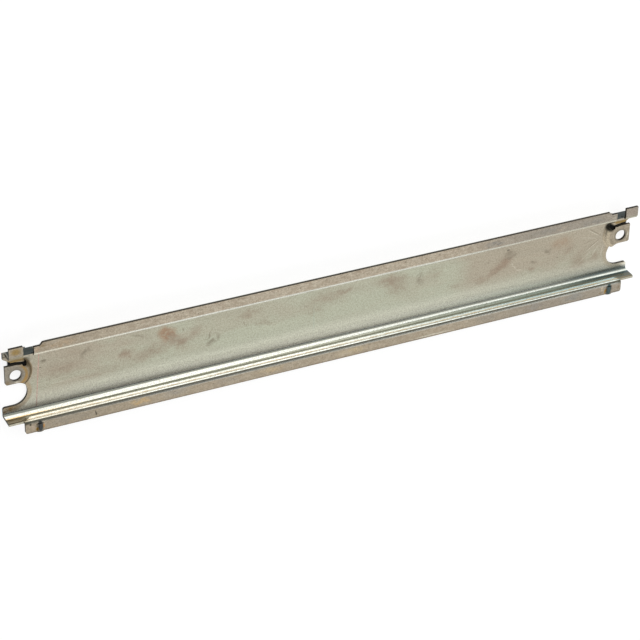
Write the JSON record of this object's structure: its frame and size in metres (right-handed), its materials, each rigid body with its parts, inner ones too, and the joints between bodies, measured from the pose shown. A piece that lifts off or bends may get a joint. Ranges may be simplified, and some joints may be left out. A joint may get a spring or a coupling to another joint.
{
  "type": "din rail",
  "caption": "Top-hat mounting rail pressed from zinc-plated steel sheet, with a raised screw pad, a locating notch and a lower stop rib at each end.",
  "frame": {"origin": "middle of the web's underside, halfway along the rail", "axes": "+X along the rail, +Y across it towards the side with the screw pads, +Z out of the open side that devices clip on to"},
  "size_m": [0.245, 0.035, 0.008],
  "materials": {
    "zinc_steel": "satin zinc plate, passivated"
  },
  "bodies": {
    "root": {"rail": "zinc_steel"}
  },
  "joints": []
}
